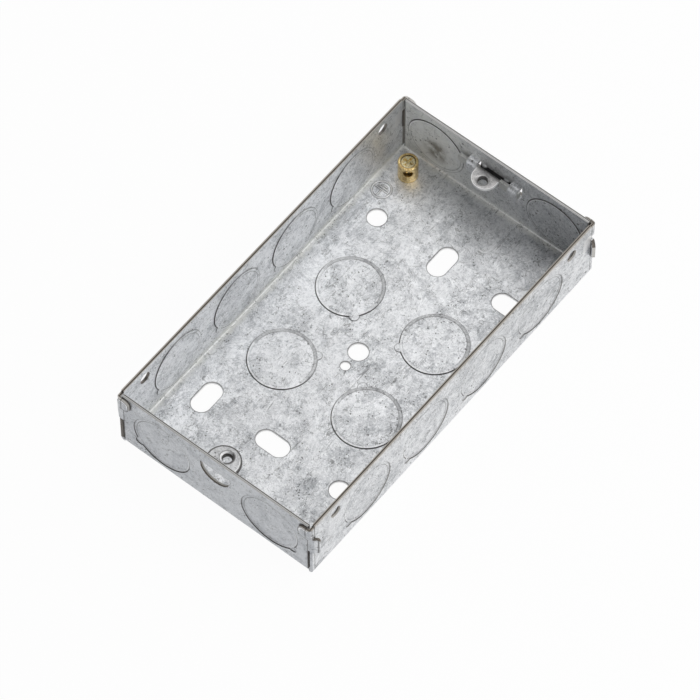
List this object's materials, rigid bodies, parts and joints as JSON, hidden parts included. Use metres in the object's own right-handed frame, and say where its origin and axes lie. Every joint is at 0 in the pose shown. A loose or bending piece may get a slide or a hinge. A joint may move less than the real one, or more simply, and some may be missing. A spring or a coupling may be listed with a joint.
{
  "type": "flush back box",
  "caption": "Folded zinc coated steel back box with part-sheared knockouts, fixing slots, a fixed lug, a sliding lug and a brass earth terminal.",
  "frame": {"origin": "middle of the back, on the face that lies against the wall", "axes": "+Z out of the wall, +Y along the long side towards the adjustable lug, +X across"},
  "size_m": [0.076, 0.134, 0.026],
  "materials": {
    "zinc_sheet": "dull zinc coating with fine marks",
    "zinc_strip": "satin zinc plating",
    "pillar_brass": "turned",
    "screw_brass": "turned"
  },
  "bodies": {
    "box": {"box_shell": "zinc_sheet", "earth_terminal_pillar": "pillar_brass"},
    "lug": {"adjustable_lug": "zinc_strip"},
    "clamp_screw": {"earth_terminal_screw": "screw_brass"}
  },
  "joints": [
    {"name": "adjustable_lug_slide", "type": "slide", "parent": "box", "child": "lug", "axis": [1, 0, 0], "range_m": [0, 0.0036]},
    {"name": "clamp_screw_travel", "type": "slide", "parent": "box", "child": "clamp_screw", "axis": [0, 0, 1], "range_m": [-0.0009, 0.002]}
  ]
}
